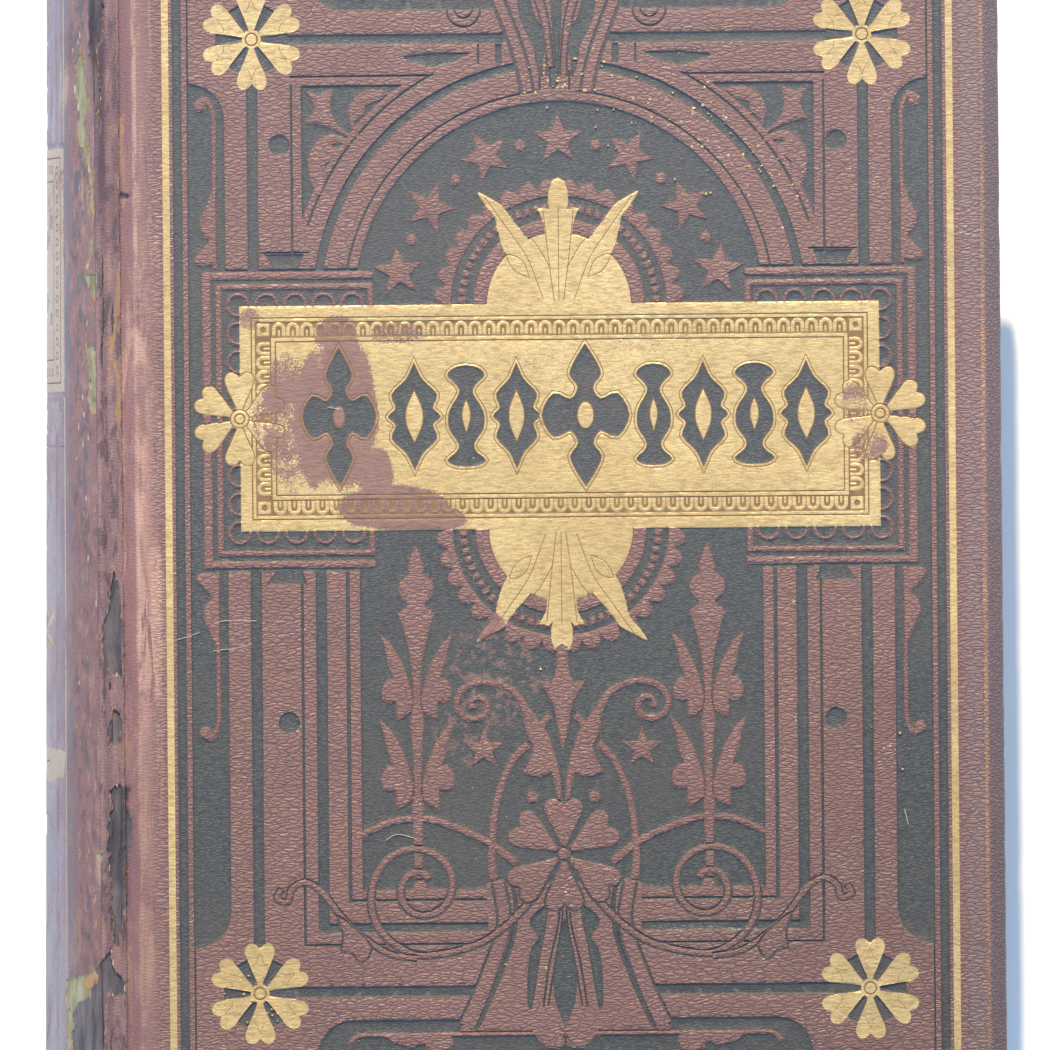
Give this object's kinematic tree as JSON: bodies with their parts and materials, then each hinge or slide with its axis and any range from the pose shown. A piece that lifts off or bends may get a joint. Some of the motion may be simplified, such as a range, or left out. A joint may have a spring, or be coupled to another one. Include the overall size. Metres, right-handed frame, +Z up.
{
  "type": "family bible",
  "caption": "Thick leather-bound family Bible with bevelled boards, blocked dark and gilt cover, rounded spine, sewn gatherings and opening covers.",
  "frame": {"origin": "under the middle of the closed book, on the surface it lies on", "axes": "+Z up through the front cover, +X from the spine towards the fore-edge, +Y from the tail to the head of the pages"},
  "size_m": [0.247, 0.318, 0.085],
  "materials": {
    "cover_leather": "worn grained leather, blocked in dark enamel and gold foil",
    "joint_leather": "cracked and torn leather",
    "spine_leather": "worn, rubbed leather with faded gilt panels",
    "millboard": "bevelled millboard",
    "hollow_card": "thin card",
    "endpaper": "toned endpaper",
    "hinge_cloth": "thin cotton hinge",
    "lining_cloth": "mull and glue",
    "hemp_cord": "twisted hemp",
    "linen_thread": "waxed linen",
    "end_band": "red and cream silk bound over a core",
    "page_block": "rag paper with worn gilt edges",
    "leaf_paper": "cream rag paper"
  },
  "bodies": {
    "back_cover": {"back_cover_leather": "cover_leather", "back_board": "millboard", "back_pastedown": "endpaper"},
    "text_block": {"spine_leather": "spine_leather", "spine_hollow_card": "hollow_card", "spine_lining": "lining_cloth", "sewing_cord_1": "hemp_cord", "sewing_cord_2": "hemp_cord", "sewing_cord_3": "hemp_cord", "sewing_cord_4": "hemp_cord", "sewing_cord_5": "hemp_cord", "kettle_stitch_1": "linen_thread", "kettle_stitch_2": "linen_thread", "headband": "end_band", "tailband": "end_band", "gathering_01": "page_block", "gathering_02": "page_block", "gathering_03": "page_block", "gathering_04": "page_block", "gathering_05": "page_block", "gathering_06": "page_block", "gathering_07": "page_block", "gathering_08": "page_block", "gathering_09": "page_block", "gathering_10": "page_block", "gathering_11": "page_block", "gathering_12": "page_block", "gathering_13": "page_block", "gathering_14": "page_block", "front_joint_leather": "joint_leather", "back_joint_leather": "joint_leather", "front_inner_hinge": "hinge_cloth", "back_inner_hinge": "hinge_cloth"},
    "front_cover": {"front_cover_leather": "cover_leather", "front_board": "millboard", "front_pastedown": "endpaper"},
    "flyleaf": {"front_flyleaf": "leaf_paper"},
    "frontispiece": {"frontispiece_leaf": "leaf_paper"},
    "title_page": {"title_leaf": "leaf_paper"},
    "record_page": {"family_record_leaf": "leaf_paper"},
    "rear_flyleaf": {"back_flyleaf": "leaf_paper"}
  },
  "joints": [
    {"name": "back_hinge", "type": "hinge", "parent": "back_cover", "child": "text_block", "pos_m": [-0.108, 0, 0], "axis": [0, -1, 0], "range_deg": [0, 25], "deforming": ["back_joint_leather", "back_inner_hinge"]},
    {"name": "front_hinge", "type": "hinge", "parent": "text_block", "child": "front_cover", "pos_m": [-0.108, 0, 0.085], "axis": [0, -1, 0], "range_deg": [0, 170], "deforming": ["front_joint_leather", "front_inner_hinge"]},
    {"name": "flyleaf_turn", "type": "hinge", "parent": "text_block", "child": "flyleaf", "pos_m": [-0.108, 0, 0.085], "axis": [0, -1, 0], "range_deg": [0, 165]},
    {"name": "frontispiece_turn", "type": "hinge", "parent": "text_block", "child": "frontispiece", "pos_m": [-0.108, 0, 0.085], "axis": [0, -1, 0], "range_deg": [0, 149.7]},
    {"name": "title_turn", "type": "hinge", "parent": "text_block", "child": "title_page", "pos_m": [-0.108, 0, 0.085], "axis": [0, -1, 0], "range_deg": [0, 102.1]},
    {"name": "record_turn", "type": "hinge", "parent": "text_block", "child": "record_page", "pos_m": [-0.108, 0, 0.085], "axis": [0, -1, 0], "range_deg": [0, 47.7]},
    {"name": "rear_flyleaf_turn", "type": "hinge", "parent": "back_cover", "child": "rear_flyleaf", "pos_m": [-0.108, 0, 0], "axis": [0, -1, 0], "range_deg": [0, 11.35]}
  ],
  "couplings": [
    {"joint": "flyleaf_turn", "follows": "front_hinge", "ratio": 0.97},
    {"joint": "frontispiece_turn", "follows": "front_hinge", "ratio": 0.88},
    {"joint": "title_turn", "follows": "front_hinge", "ratio": 0.6},
    {"joint": "record_turn", "follows": "front_hinge", "ratio": 0.28},
    {"joint": "rear_flyleaf_turn", "follows": "back_hinge", "ratio": 0.45}
  ]
}
